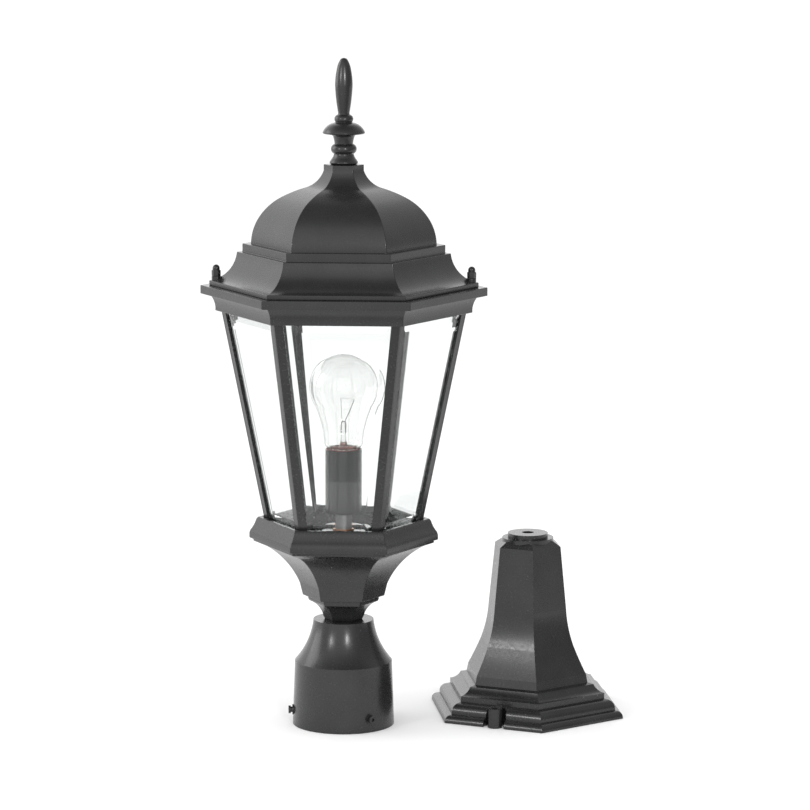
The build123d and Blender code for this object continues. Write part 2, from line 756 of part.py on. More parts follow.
# ---------------------------------------------------------------- top frame
def top_frame():
    """Coved ring over the cage, with an inner seat for the posts and blind holes for the roof studs."""
    bore_r = post_r(top_seat_z) + TOP_POST_GAP
    outside = [
        (0, cove_z),
        (TOP_COVE_R, cove_z),
        (TOP_COVE_HEAD_R, top_flange_z, TOP_COVE_BOW),
        (TOP_FLANGE_R, top_flange_z),
        (TOP_FLANGE_R, roof_z),
        (0, roof_z),
    ]
    inside = [
        (0, cove_z - OVERRUN),
        (bore_r, cove_z - OVERRUN),
        (bore_r, top_seat_z),
        (TOP_OPENING_R, top_seat_z),
        (TOP_OPENING_R, roof_z + OVERRUN),
        (0, roof_z + OVERRUN),
    ]
    ring = hexagonal(outside) - hexagonal(inside)
    ring = without(ring, around(post_screw_hole(top_seat_z, 1)))
    root = [stud_bar(STUD_R, roof_z - STUD_ROOT, STUD_ROOT + OVERRUN, side) for side in (1, -1)]
    return without(ring, root)


def stud_bar(radius, z, height, side):
    """Round bar at one of the two roof studs."""
    return Pos(side * STUD_OFFSET, 0, 0) * disc(radius, z, height)


def roof_studs():
    """Two studs standing in the top frame."""
    height = STUD_ROOT + lug_z + STUD_REACH - roof_z
    return [stud_bar(STUD_R, roof_z - STUD_ROOT, height, side) for side in (1, -1)]


# ---------------------------------------------------------------- roof
def roof_outline():
    """Roof from the lip up, without its closing points."""
    return [
        (ROOF_LIP_R, lip_z),
        (ROOF_SKIRT_R, skirt_top_z, ROOF_SKIRT_BOW),
        (ROOF_BAND_R, skirt_top_z),
        (ROOF_BAND_R, band_top_z),
        (DOME_FOOT_R, band_top_z),
        (DOME_FOOT_R, band_top_z + DOME_FOOT_RISE),
        (DOME_SIDE_R, dome_side_z, DOME_SIDE_BOW),
        (DOME_CROWN_R, dome_crown_z, DOME_CROWN_BOW),
        (DOME_HEAD_R, dome_head_z, DOME_HEAD_BOW),
        (ROOF_NECK_R, ogee_top_z, ROOF_OGEE_BOW),
        (ROOF_NECK_R, finial_z),
    ]


def roof_lug(side):
    """Boss round a roof stud with a rib running back to the skirt."""
    boss = stud_bar(LUG_R, roof_z, lug_z - roof_z, side)
    rib = Box(LUG_RIB_LENGTH, LUG_RIB_WIDTH, LUG_RISE, align=(Align.MAX, Align.CENTER, Align.MIN))
    if side < 0:
        rib = Rot(0, 0, 180) * rib
    return boss + Pos(side * STUD_OFFSET, 0, lip_z) * rib


def roof():
    """Bell roof, hollow, open below and flat on top for the finial."""
    shape = roof_outline()
    outside = [(0, roof_z), (ROOF_LIP_R, roof_z)] + shape + [(0, finial_z)]
    under = moved(shape, ROOF_WALL, -ROOF_WALL)
    hollow = hexagonal([(0, lip_z - ROOF_WALL)] + under + [(0, finial_z - ROOF_WALL)])
    throat = hex_bar(ROOF_OPENING_R, roof_z - OVERRUN, finial_z - roof_z)
    body = hexagonal(outside)
    for side in (1, -1):
        body = body + roof_lug(side)
    opening = hex_bar(ROOF_OPENING_R, roof_z - OVERRUN, ROOF_LIP_THICKNESS + OVERRUN)
    body = body - (hollow & throat) - opening
    lug_height = lug_z - roof_z
    holes = [stud_bar(STUD_R + FREE, roof_z - OVERRUN, lug_height + 2 * OVERRUN, side) for side in (1, -1)]
    return without(body, holes + [disc(FINIAL_STUD_R, lip_z, finial_z)])


def cap_nut(side):
    """Domed nut on a roof stud."""
    body = hex_bar(CAP_NUT_R, lug_z, CAP_NUT_HEX_HEIGHT)
    dome_z = lug_z + CAP_NUT_HEX_HEIGHT
    rise = CAP_NUT_HEIGHT - CAP_NUT_HEX_HEIGHT
    straight = rise - CAP_NUT_DOME_R
    dome = disc(CAP_NUT_DOME_R, dome_z, straight) + Pos(0, 0, dome_z + straight) * Sphere(CAP_NUT_DOME_R)
    whole = body + dome - disc(STUD_R + RUNNING, lug_z - OVERRUN, CAP_NUT_BORE + OVERRUN)
    return Pos(side * STUD_OFFSET, 0, 0) * whole


# ---------------------------------------------------------------- finial
def finial():
    """Turned finial with a threaded hole in its foot."""
    outline = [(0, finial_z), (FINIAL_BASE_R, finial_z)]
    outline += moved(FINIAL_TURNINGS, 0, finial_z)
    outline += [(0, finial_z + FINIAL_HEIGHT)]
    return turned(outline) - disc(FINIAL_STUD_R, finial_z - OVERRUN, FINIAL_STUD_BITE + OVERRUN)


def finial_stud():
    """Stud that joins the finial to the roof."""
    bottom = finial_z - ROOF_WALL - FINIAL_NUT_THICKNESS - FINIAL_STUD_END
    return disc(FINIAL_STUD_R, bottom, finial_z + FINIAL_STUD_BITE - bottom)


def finial_nut():
    """Nut on the stud under the roof."""
    z = finial_z - ROOF_WALL - FINIAL_NUT_THICKNESS
    return nut(FINIAL_NUT_R, FINIAL_STUD_R, z, FINIAL_NUT_THICKNESS)


# ---------------------------------------------------------------- lamp holder
def socket_stem():
    """Round spacer over the nipple below the lamp holder."""
    return tube(STEM_R, NIPPLE_R, stem_z, STEM_HEIGHT)


def socket_sleeve():
    """Outer sleeve of the lamp holder, closed below with a rounded edge."""
    sleeve = disc(SLEEVE_R, sleeve_z, SLEEVE_HEIGHT)
    sleeve = fillet(sleeve.edges().group_by(Axis.Z)[0], SLEEVE_EDGE_R)
    hollow = disc(liner_r, sleeve_z + SLEEVE_WALL, SLEEVE_HEIGHT)
    hollow = fillet(hollow.edges().group_by(Axis.Z)[0], SLEEVE_EDGE_R - SLEEVE_WALL)
    return sleeve - hollow - disc(NIPPLE_R + FREE, sleeve_z - OVERRUN, SLEEVE_WALL + 2 * OVERRUN)


def socket_block():
    """Insulating block that carries the centre contact and the threaded shell."""
    block = disc(liner_r, block_z, SOCKET_BLOCK_HEIGHT)
    return block - disc(SOCKET_WELL_R, block_z - OVERRUN, SOCKET_WELL_DEPTH + OVERRUN)


def socket_liner():
    """Insulating tube between the sleeve and the threaded shell."""
    return tube(liner_r, shell_r, block_top_z, sleeve_top_z - LINER_DROP - block_top_z)


def socket_shell():
    """Threaded shell of the lamp holder."""
    return tube(shell_r, shell_r - SHELL_WALL, block_top_z, sleeve_top_z - SHELL_DROP - block_top_z)


def socket_contact():
    """Centre contact."""
    return disc(CONTACT_R, block_top_z, CONTACT_THICKNESS)


# ---------------------------------------------------------------- lamp
def lamp_envelope():
    """Hollow glass envelope, its neck plugged into the cap."""
    flank_z = lamp_rim_z + LAMP_BELLY_HEIGHT - LAMP_FLANK_DROP
    belly_z = lamp_rim_z + LAMP_BELLY_HEIGHT

    def bulb(wall):
        """Envelope's outline drawn in by a wall."""
        radius = LAMP_R - wall
        foot = lamp_rim_z + wall / 2
        lower = closed([
            (0, foot),
            (LAMP_RIM_R - wall, foot),
            (LAMP_SHOULDER_R - wall, foot + LAMP_SHOULDER_RISE, LAMP_SHOULDER_BOW),
            (LAMP_NECK_R - wall, lamp_rim_z + LAMP_NECK_HEIGHT),
            (LAMP_FLANK_R - wall, flank_z, LAMP_FLANK_BOW),
            (0, flank_z),
        ])
        solid = revolve(Plane.XZ * lower, Axis.Z)
        ball = Pos(0, 0, belly_z) * Sphere(radius)
        return solid + (ball & disc(2 * LAMP_R, flank_z, 4 * LAMP_R))

    plug = disc(LAMP_PLUG_R, lamp_plug_z, LAMP_PLUG_LENGTH + LAMP_WALL)
    inner_plug = disc(LAMP_PLUG_R - LAMP_WALL, lamp_plug_z + LAMP_WALL, LAMP_PLUG_LENGTH + LAMP_WALL)
    return bulb(0) + plug - bulb(LAMP_WALL) - inner_plug


def lamp_cap():
    """Screw shell of the lamp."""
    return tube(LAMP_CAP_R, LAMP_PLUG_R, lamp_cap_z, LAMP_CAP_LENGTH)


def lamp_insulator():
    """Tapered insulator between the cap and the button."""
    return turned([
        (0, lamp_insulator_z),
        (LAMP_INSULATOR_HEAD_R, lamp_insulator_z),
        (LAMP_CAP_R, lamp_cap_z),
        (0, lamp_cap_z),
    ])


def lamp_button():
    """Contact button at the foot of the lamp."""
    return disc(LAMP_BUTTON_R, lamp_z, LAMP_BUTTON_LENGTH)


def lamp_stem():
    """Glass stem inside the envelope."""
    foot = lamp_plug_z + LAMP_WALL
    return turned([
        (0, foot),
        (LAMP_FLARE_R, foot),
        (LAMP_PRESS_R, foot + LAMP_FLARE_LENGTH, LAMP_FLARE_BOW),
        (LAMP_PRESS_R, lamp_stem_top_z),
        (0, lamp_stem_top_z),
    ])


def support_wire(side):
    """Wire from the stem to one end of the filament."""
    foot = (side * LAMP_PRESS_R / 2, 0, lamp_stem_top_z)
    return rod(foot, filament_end(side), SUPPORT_WIRE_R)


def filament_end(side):
    """Where the filament meets a support wire."""
    spread = SUPPORT_SPREAD_RIGHT if side > 0 else SUPPORT_SPREAD_LEFT
    return (side * spread, 0, filament_z - side * FILAMENT_TILT)


def lamp_supports():
    """Two wires that carry the filament."""
    return [support_wire(side) - lamp_stem() for side in (-1, 1)]


def lamp_filament():
    """Filament between the tips of the support wires."""
    wire = rod(filament_end(-1), filament_end(1), FILAMENT_R)
    return without(wire, lamp_supports())


# ---------------------------------------------------------------- pier mount base
def pier_base():
    """Stepped hexagonal base with a flared column, hollow, with anchor lugs at its foot."""
    shape = [(PIER_FOOT_R, 0)] + PIER_STEPS + [(PIER_HEAD_R, PIER_HEIGHT)]
    crown_z = PIER_HEIGHT + PIER_CROWN_RISE
    recess_z = ANCHOR_LUG_HEIGHT - ANCHOR_LUG_DROP
    body = hexagonal([(0, 0)] + shape + [(PIER_CROWN_R, crown_z), (0, crown_z)])
    body = body + disc(PIER_RING_R, PIER_HEIGHT, PIER_CROWN_RISE + PIER_RING_HEIGHT)
    body = body + disc(PIER_BOSS_R, crown_z, PIER_RING_HEIGHT + PIER_BOSS_HEIGHT)
    under = moved(shape, PIER_WALL, -PIER_WALL)
    hollow = hexagonal([(0, -PIER_WALL)] + under + [(0, PIER_HEIGHT - PIER_WALL)])
    angles = [ANCHOR_FIRST_ANGLE + 360 / ANCHOR_COUNT * n for n in range(ANCHOR_COUNT)]
    places = [Rot(0, 0, angle) * Pos(ANCHOR_CIRCLE_R, 0, 0) for angle in angles]
    for place in places:
        hollow = hollow - place * disc(ANCHOR_RECESS_R + PIER_WALL, -PIER_WALL, recess_z + 2 * PIER_WALL)
    body = body - hollow
    for place in places:
        body = body - place * anchor_recess(recess_z)
        body = body + place * anchor_lug(recess_z)
        body = body - place * disc(ANCHOR_HOLE_R, -OVERRUN, ANCHOR_LUG_HEIGHT + 2 * OVERRUN)
    body = body - disc(NIPPLE_R + FREE, 0, 2 * PIER_HEIGHT)
    return Pos(PIER_X, PIER_Y, 0) * Rot(0, 0, PIER_TURN) * body


def anchor_recess(height):
    """Open recess round an anchor lug, through the foot's steps."""
    outward = (Align.MIN, Align.CENTER, Align.MIN)
    slot = Box(PIER_FOOT_R, 2 * ANCHOR_RECESS_R, height, align=outward)
    return disc(ANCHOR_RECESS_R, -OVERRUN, height + OVERRUN) + slot


def anchor_lug(recess_z):
    """Round lug for an anchor screw with a web to the recess wall behind it."""
    behind = (Align.MAX, Align.CENTER, Align.MIN)
    web = Box(ANCHOR_RECESS_R + PIER_WALL / 2, ANCHOR_WEB_WIDTH, recess_z, align=behind)
    return disc(ANCHOR_LUG_R, 0, ANCHOR_LUG_HEIGHT) + web


# ---------------------------------------------------------------- parts
def write(name, shape):
    """Save one piece, or a group of separate pieces, under its name."""
    if isinstance(shape, list):
        shape = Compound(children=shape)
    export_step(shape, f"parts/{name}.step")


def main():
    """Make and save every piece."""
    os.makedirs("parts", exist_ok=True)
    write("post_fitter", post_fitter())
    for number, angle in enumerate(set_screw_angles(), 1):
        write(f"set_screw_{number}", set_screw(angle))
    write("nipple", nipple())
    write("locknuts", locknuts())
    write("body_cup", body_cup())
    write("bottom_frame", bottom_frame())
    write("floor_plate", floor_plate())
    write("stem_cover", stem_cover())
    write("stem_washer", stem_washer())
    for number, angle in enumerate(CORNERS, 1):
        write(f"corner_post_{number}", Rot(0, 0, angle) * corner_post(angle in CLIP_CORNERS))
    for number, piece in enumerate(around(pane()), 1):
        write(f"pane_{number}", piece)
    write("corner_clips", at_clips(clip))
    write("clip_screws", at_clips(clip_screw))
    write("post_screws", post_screws())
    write("top_frame", top_frame())
    write("roof_studs", roof_studs())
    write("roof", roof())
    write("finial", finial())
    write("finial_stud", finial_stud())
    write("finial_nut", finial_nut())
    write("cap_nut_right", cap_nut(1))
    write("cap_nut_left", cap_nut(-1))
    write("socket_stem", socket_stem())
    write("socket_sleeve", socket_sleeve())
    write("socket_block", socket_block())
    write("socket_liner", socket_liner())
    write("socket_shell", socket_shell())
    write("socket_contact", socket_contact())
    write("lamp_envelope", lamp_envelope())
    write("lamp_cap", lamp_cap())
    write("lamp_insulator", lamp_insulator())
    write("lamp_button", lamp_button())
    write("lamp_stem", lamp_stem())
    write("lamp_supports", lamp_supports())
    write("lamp_filament", lamp_filament())
    write("pier_base", pier_base())


main()
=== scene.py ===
"""Post top lantern: fine shapes, finishes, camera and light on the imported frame.

Outlines are lists of (radius, height) in millimetres; radii of hexagonal castings are measured to their
corners. A third number is the bow of the arc that leads to the point: plus hollow, minus full.
"""
import json
import math

import bmesh
import bpy
from mathutils import Matrix, Vector

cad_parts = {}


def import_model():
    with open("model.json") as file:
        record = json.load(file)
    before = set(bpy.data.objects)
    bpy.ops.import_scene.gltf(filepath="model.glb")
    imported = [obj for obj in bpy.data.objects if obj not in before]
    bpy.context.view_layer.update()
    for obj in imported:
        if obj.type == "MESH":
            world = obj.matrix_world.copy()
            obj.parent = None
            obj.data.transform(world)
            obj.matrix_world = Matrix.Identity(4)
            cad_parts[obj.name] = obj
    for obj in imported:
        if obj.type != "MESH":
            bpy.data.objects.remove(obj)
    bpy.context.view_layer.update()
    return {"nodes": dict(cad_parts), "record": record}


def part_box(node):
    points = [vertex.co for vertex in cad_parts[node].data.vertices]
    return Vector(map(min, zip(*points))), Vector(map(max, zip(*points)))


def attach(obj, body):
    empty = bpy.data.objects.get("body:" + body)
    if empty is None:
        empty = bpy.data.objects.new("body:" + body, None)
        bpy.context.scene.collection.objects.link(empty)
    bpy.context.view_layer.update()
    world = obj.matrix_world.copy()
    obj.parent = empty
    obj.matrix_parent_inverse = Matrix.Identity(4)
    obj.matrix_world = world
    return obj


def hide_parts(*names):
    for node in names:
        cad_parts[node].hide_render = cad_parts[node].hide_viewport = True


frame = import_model()

MM = 0.001
TINY = 1e-6
SIDES = 6
COS30 = math.cos(math.radians(30))
CORNERS = [math.radians(60 * n) for n in range(SIDES)]

# ---------------------------------------------------------------- levels of the lantern
CUP_FOOT = 94.1
CUP_TOP = 165.9
FRAME_TOP = 184.7
COVE = 367.5
FLANGE = 382.3
ROOF = 389.8
LIP = 393.9
LUG_TOP = 397.8
FINIAL = 496.2

# ---------------------------------------------------------------- castings
ARRIS = 0.9
EDGE = 0.7
NIPPLE_HOLE_R = 5.3

NECK_AND_CUP = [
    (16.6, CUP_FOOT),
    (18.0, 96.5),
    (30.4, 110.2, 2.5),
    (31.4, 112.0),
    (31.4, 114.5),
    (36.2, 115.2),
    (38.9, 126.2),
    (70.5, 159.9, 4.0),
    (77.6, 162.4),
    (79.8, 163.2),
    (79.8, CUP_TOP),
]
CUP_INSIDE = [
    (NIPPLE_HOLE_R, 120.2),
    (33.2, 120.2),
    (35.9, 129.2),
    (67.5, 162.9, 4.0),
    (76.4, 163.3),
    (76.4, CUP_TOP),
]
BOTTOM_FRAME = [
    (83.4, CUP_TOP),
    (83.4, 170.5),
    (82.4, 173.1),
    (77.2, 182.8, 0.55),
    (75.7, FRAME_TOP),
    (71.5, FRAME_TOP),
    (71.5, 178.0),
    (62.55, 178.0),
    (60.95, 170.8),
    (56.6, 170.8),
    (56.6, 168.3),
    (50.0, 168.3),
    (50.0, CUP_TOP),
]
TOP_FRAME = [
    (112.5, COVE),
    (117.7, FLANGE, 1.7),
    (125.5, FLANGE),
    (125.5, ROOF),
    (96.0, ROOF),
    (96.0, 376.0),
    (109.4, 376.0),
    (109.4, COVE),
]

ROOF_FOOT_R = 117.7
ROOF_WALL = 3.0
ROOF_MOUTH_R = 100.0
FINIAL_HOLE_R = 3.0
ROOF_SHAPE = [
    (ROOF_FOOT_R, LIP),
    (93.4, 419.3, 6.1),
    (88.6, 419.3),
    (88.6, 426.7),
    (81.1, 426.7),
    (81.1, 427.7),
    (74.3, 449.3, -1.5),
    (54.1, 467.6, -1.8),
    (34.4, 475.6, -0.5),
    (17.6, 490.9, 2.9),
    (17.6, FINIAL),
]

# lugs of the roof over the studs, each with a rib back to the skirt
LUG_X = 111.5
LUG_R = 4.0
LUG_HOLE_R = 2.4
LUG_EDGE = 0.4
RIB_START = 102.5
RIB_END = 109.0
RIB_HALF_WIDTH = 1.7

# finial, with its heights above its foot
FINIAL_EDGE = 0.35
FINIAL_SHAPE = [
    (10.8, 0.0),
    (12.0, 0.9),
    (12.0, 2.8, -0.4),
    (11.3, 4.0),
    (8.7, 8.6, 0.3),
    (8.7, 9.3),
    (8.0, 17.9, -2.9),
    (9.4, 24.4, 0.2),
    (10.3, 25.5),
    (17.6, 26.6),
    (18.4, 27.2),
    (18.4, 27.9),
    (8.2, 36.2, -1.7),
    (7.2, 36.6),
    (5.3, 43.2, -1.9),
    (4.9, 44.2),
    (7.65, 68.0, -0.4),
    (6.1, 82.9, -0.4),
    (3.6, 89.7, -0.35),
    (1.2, 91.9, -0.4),
    (0.0, 92.1),
]

# domed nuts on the lugs
NUT_BORE_R = 2.05
NUT_ARRIS = 0.35
NUT_DOME_R = 3.15
NUT_DOME_FOOT = 402.5
NUT_SHOULDER = 403.0
NUT_DOME_CENTRE = 404.85
NUT_BORE_TOP = 406.2
NUT_DOME_STEP = 9
NUT_HEXAGON = [
    (NUT_BORE_R, LUG_TOP),
    (3.75, LUG_TOP),
    (4.04, 398.3),
    (4.04, 402.6),
    (3.7, 403.1),
    (NUT_BORE_R, 403.1),
]

# ---------------------------------------------------------------- lamp, heights above its cap's rim
LAMP_FLANK = [
    (12.4, -4.0),
    (12.4, 0.0),
    (13.2, 0.0),
    (16.9, 5.4, -1.3),
    (17.6, 13.0, -0.2),
    (24.8, 36.9, 0.6),
]
LAMP_R = 30.1
LAMP_BELLY = 53.9
LAMP_FLANK_DROP = 17.0
LAMP_CROWN_STEPS = 32
LAMP_WALL = 0.8
STEM_FOOT = -3.2
CEMENT_PLUG = [(0.0, -3.0), (11.5, -3.0), (11.5, -0.9), (8.0, -0.4), (0.0, -0.4)]

# glass stem, heights above its foot
STEM_WIRES = 26.6
STEM_SHAPE = [
    (0.0, 0.0),
    (7.0, 0.0),
    (6.4, 1.5),
    (2.7, 12.5, 1.3),
    (2.5, 15.0),
    (3.4, 19.5),
    (3.1, 23.0),
    (1.9, STEM_WIRES),
    (0.0, 27.2),
]

# support wires as (x, height above the stem's top), and the filament wound between their tips
WIRE_LEFT = [(-1.2, -10.0), (-1.4, 0.0), (-1.9, 10.0), (-2.4, 20.6)]
WIRE_RIGHT = [(1.2, -10.0), (1.4, 0.0), (5.2, 9.0), (9.4, 19.4)]
WIRE_LEFT_R = 0.2
WIRE_RIGHT_R = 0.35
COIL_R = 0.22
COIL_PITCH = 0.4
COIL_WIRE_R = 0.04
COIL_STEPS = 10
PATH_STEPS = 8

# fibre liner of the lamp holder; its collar's heights are above the sleeve's top
LINER_WALL = 0.6
COLLAR_TOP = 0.5
COLLAR_CHAMFER = 0.4
COLLAR_LIP_R = 13.4
COLLAR_LIP_TOP = 0.4
COLLAR_LIP_FOOT = -0.8
COLLAR_FOOT = -1.2
COLLAR_EDGE = 0.2

# ---------------------------------------------------------------- fineness of the meshes
OUTLINE_STEP = 2.2
LAMP_STEP = 1.5
FINE_STEP = 1.0
LEAST_ARC_STEPS = 6
ARRIS_STEPS = 4
EASED_STEPS = 3
EASED_LEAST_TURN = 24.0
EASED_REACH = 0.45
TURNED_STEPS = 96
MIDDLE_STEPS = 72
PLUG_STEPS = 64
SMALL_STEPS = 40
SMOOTH_ANGLE = 32.0
GLASS_ANGLE = 60.0
CAD_EDGE_ANGLE = 30.0
WEIGHT_OF_NORMALS = 70

# CAD nodes that are shown as they are, with the width and segments of their small rounds
SET_SCREWS = ["set_screw_1", "set_screw_2", "set_screw_3"]
SOFT_EDGES = [
    (["pier_base", "post_fitter"], 0.7, 3),
    ([f"corner_post_{n}" for n in range(1, SIDES + 1)], 0.3, 2),
    (["corner_clips"] + SET_SCREWS + ["socket_stem"], 0.2, 2),
]

# ---------------------------------------------------------------- camera, light, surround, in metres
LENS = 160.0
SENSOR = 36.0
FAR_CLIP = 100.0
EYE = (0.1899, -3.1110, 0.7708)
EYE_PAN = 2.505
EYE_TILT = 81.142
EYE_ROLL = 0.187

# name, place, point it looks at, size, power
SOFTBOXES = [
    ("left_box", (-2.6, 0.4, 1.2), (0.0, 0.0, 0.3), (1.6, 2.0), 24.0),
    ("left_lamp", (-1.44, -1.74, 1.00), (0.1, 0.0, 0.2), (0.16, 0.34), 9.0),
    ("right_lamp", (0.72, -2.40, 1.05), (0.0, 0.0, 0.2), (0.18, 0.40), 18.0),
]

TABLE_FRONT = -0.464
TABLE_REACH = 12.0
TABLE_Z = -0.0002
BACKDROP = (0.78, 0.78, 0.78, 1.0)
WHITE = (1.0, 1.0, 1.0, 1.0)
SURROUND_STRENGTH = 1.35

# brightness that polished surfaces see along each axis, from its minus end (0) to its plus end (1)
ROOM_DEPTH = [(0.0, 0.95), (0.3, 0.6), (0.62, 0.85), (0.9, 1.0), (1.0, 1.35)]
ROOM_WIDTH = [(0.0, 1.15), (0.45, 0.95), (0.75, 0.55), (0.93, 0.42), (1.0, 0.25)]
ROOM_HEIGHT = [(0.0, 0.5), (0.4, 0.85), (0.6, 1.05), (0.84, 1.05), (0.93, 0.4), (1.0, 0.14)]

# ---------------------------------------------------------------- finishes: noise scales per metre
CLOUD_SCALE = 38.0
SPECK_SCALE = 420.0
GRAIN_SCALE = 2600.0
POWDER_SCALE = 1300.0
FIBRE_SCALE = 1800.0
FILM_SCALE = 30.0
WAVE_SCALE = 16.0
FLOOR_SCALE = 3.0
GRAIN_HEIGHT = 0.0004
WAVE_HEIGHT = 0.0005
FILM_ROUGH = 0.015
GLASS_IOR = 1.5
FLOOR_ROUGH = 0.9
FLOOR_SPECULAR = 0.1
FLOOR_GREYS = (0.80, 0.82)


# ---------------------------------------------------------------- node helpers
def material(name):
    """New material with its node tree cleared down to the output."""
    made = bpy.data.materials.new(name)
    made.use_nodes = True
    tree = made.node_tree
    for node in list(tree.nodes):
        if node.type != "OUTPUT_MATERIAL":
            tree.nodes.remove(node)
    return made, tree, tree.nodes["Material Output"]


def add(tree, kind, **values):
    """New node with its properties or inputs set."""
    node = tree.nodes.new(kind)
    for key, value in values.items():
        if hasattr(node, key):
            setattr(node, key, value)
        else:
            node.inputs[key.replace("_", " ")].default_value = value
    return node


def link(tree, source, output, target, socket):
    """Join two sockets, each given by its name or number."""
    tree.links.new(source.outputs[output], target.inputs[socket])


def noise(tree, scale, detail, rough=0.5):
    """Noise in the object's own coordinates, its scale in features per metre."""
    place = add(tree, "ShaderNodeTexCoord")
    made = add(tree, "ShaderNodeTexNoise", Scale=scale, Detail=detail, Roughness=rough)
    link(tree, place, "Object", made, "Vector")
    return made


def ramp(tree, source, output, stops):
    """Colour ramp through (position, colour) stops."""
    made = add(tree, "ShaderNodeValToRGB")
    link(tree, source, output, made, "Fac")
    marks = made.color_ramp.elements
    while len(marks) < len(stops):
        marks.new(0.5)
    for mark, (position, colour) in zip(marks, stops):
        mark.position = position
        mark.color = (*colour, 1.0)
    return made


def grey(value):
    """Colour with three equal channels."""
    return (value, value, value)


def wander(tree, body, socket, source, low, high, span=(0.3, 0.7)):
    """Let a socket of the shader wander between two colours after a noise."""
    shade = ramp(tree, source, "Fac", [(span[0], low), (span[1], high)])
    link(tree, shade, "Color", body, socket)


def relief(tree, body, source, strength, height):
    """Bump of the shader's surface after a noise."""
    raised = add(tree, "ShaderNodeBump", Strength=strength, Distance=height)
    link(tree, source, "Fac", raised, "Height")
    link(tree, raised, "Normal", body, "Normal")


def coat(name, low, high, rough, metallic=0.0, grain=GRAIN_SCALE, bump=0.05):
    """Principled finish whose colour and roughness wander a little, with a fine bump."""
    made, tree, out = material(name)
    body = add(tree, "ShaderNodeBsdfPrincipled", Metallic=metallic)
    wander(tree, body, "Base Color", noise(tree, CLOUD_SCALE, 4.0), low, high)
    wander(tree, body, "Roughness", noise(tree, SPECK_SCALE, 2.0), grey(rough[0]), grey(rough[1]))
    relief(tree, body, noise(tree, grain, 2.0, 0.6), bump, GRAIN_HEIGHT)
    link(tree, body, "BSDF", out, "Surface")
    return made


def glass(name, tint, wave=0.0):
    """Clear glass whose shadow rays pass straight through, so that it doesn't darken what it covers."""
    made, tree, out = material(name)
    body = add(tree, "ShaderNodeBsdfPrincipled", Base_Color=(*tint, 1.0), Transmission_Weight=1.0)
    body.inputs["IOR"].default_value = GLASS_IOR
    film = noise(tree, FILM_SCALE, 3.0)
    wander(tree, body, "Roughness", film, grey(0.0), grey(FILM_ROUGH), (0.35, 0.8))
    if wave:
        relief(tree, body, noise(tree, WAVE_SCALE, 1.0), wave, WAVE_HEIGHT)
    path = add(tree, "ShaderNodeLightPath")
    clear = add(tree, "ShaderNodeBsdfTransparent", Color=(*tint, 1.0))
    mix = add(tree, "ShaderNodeMixShader")
    link(tree, path, "Is Shadow Ray", mix, "Fac")
    link(tree, body, "BSDF", mix, 1)
    link(tree, clear, "BSDF", mix, 2)
    link(tree, mix, "Shader", out, "Surface")
    return made


BLACK = coat("black_powder_coat", grey(0.012), (0.017, 0.017, 0.018), (0.22, 0.29), grain=POWDER_SCALE)
HARDWARE = coat("black_hardware", grey(0.009), grey(0.013), (0.2, 0.28))
ENAMEL = coat("sleeve_enamel", grey(0.010), grey(0.014), (0.16, 0.22), bump=0.02)
FLOOR_ENAMEL = coat("floor_enamel", grey(0.014), grey(0.019), (0.05, 0.09), bump=0.01)
STEEL = coat("zinc_steel", grey(0.42), grey(0.52), (0.28, 0.36), metallic=1.0, bump=0.02)
COPPER = coat("copper_washer", (0.42, 0.22, 0.15), (0.55, 0.32, 0.22), (0.28, 0.4), metallic=1.0, bump=0.02)
BRASS = coat("brass", (0.62, 0.43, 0.18), (0.74, 0.54, 0.26), (0.25, 0.36), metallic=1.0, bump=0.02)
NICKEL = coat("nickel_plate", (0.55, 0.54, 0.51), (0.66, 0.64, 0.6), (0.22, 0.32), metallic=1.0, bump=0.02)
SOLDER = coat("solder", grey(0.45), grey(0.55), (0.35, 0.5), metallic=1.0)
PHENOLIC = coat("phenolic", (0.03, 0.024, 0.02), (0.045, 0.035, 0.03), (0.4, 0.5), bump=0.03)
FIBRE = coat("red_fibre", (0.09, 0.022, 0.016), (0.19, 0.06, 0.045), (0.6, 0.8), grain=FIBRE_SCALE, bump=0.3)
VITRITE = coat("vitrite", grey(0.012), grey(0.02), (0.08, 0.14), bump=0.01)
TUNGSTEN = coat("tungsten", grey(0.05), grey(0.09), (0.4, 0.5), bump=0.02)
PANE_GLASS = glass("pane_glass", (0.975, 0.99, 0.985), wave=0.01)
LAMP_GLASS = glass("lamp_glass", (0.985, 0.985, 0.98))

SLOTS = {
    "black_powder_coat": BLACK,
    "clear_glass": PANE_GLASS,
    "zinc_steel": STEEL,
    "black_hardware": HARDWARE,
    "copper_washer": COPPER,
    "black_enamel": ENAMEL,
    "phenolic": PHENOLIC,
    "red_fibre": FIBRE,
    "brass": BRASS,
    "nickel_plate": NICKEL,
    "solder": SOLDER,
    "black_glass": VITRITE,
    "tungsten": TUNGSTEN,
}
POLISHED = {"floor_plate": FLOOR_ENAMEL, "stem_cover": FLOOR_ENAMEL}


# ---------------------------------------------------------------- outline helpers
def arc(start, end, bow, steps):
    """Points after start along an arc to end; plus bows to the left of the way, minus to the right."""
    chord = Vector((end[0] - start[0], end[1] - start[1]))
    length = chord.length
    radius = (length * length / 4 + bow * bow) / (2 * abs(bow))
    side = 1 if bow > 0 else -1
    normal = Vector((-chord.y, chord.x)) / length * side
    middle = Vector(start) + chord / 2
    centre = middle + normal * (abs(bow) - radius)
    first = Vector(start) - centre
    half = math.asin(min(1.0, length / (2 * radius)))
    turn = -2 * half * side
    points = []
    for step in range(1, steps + 1):
        spin = Matrix.Rotation(turn * step / steps, 2)
        points.append(tuple(centre + spin @ first))
    return points


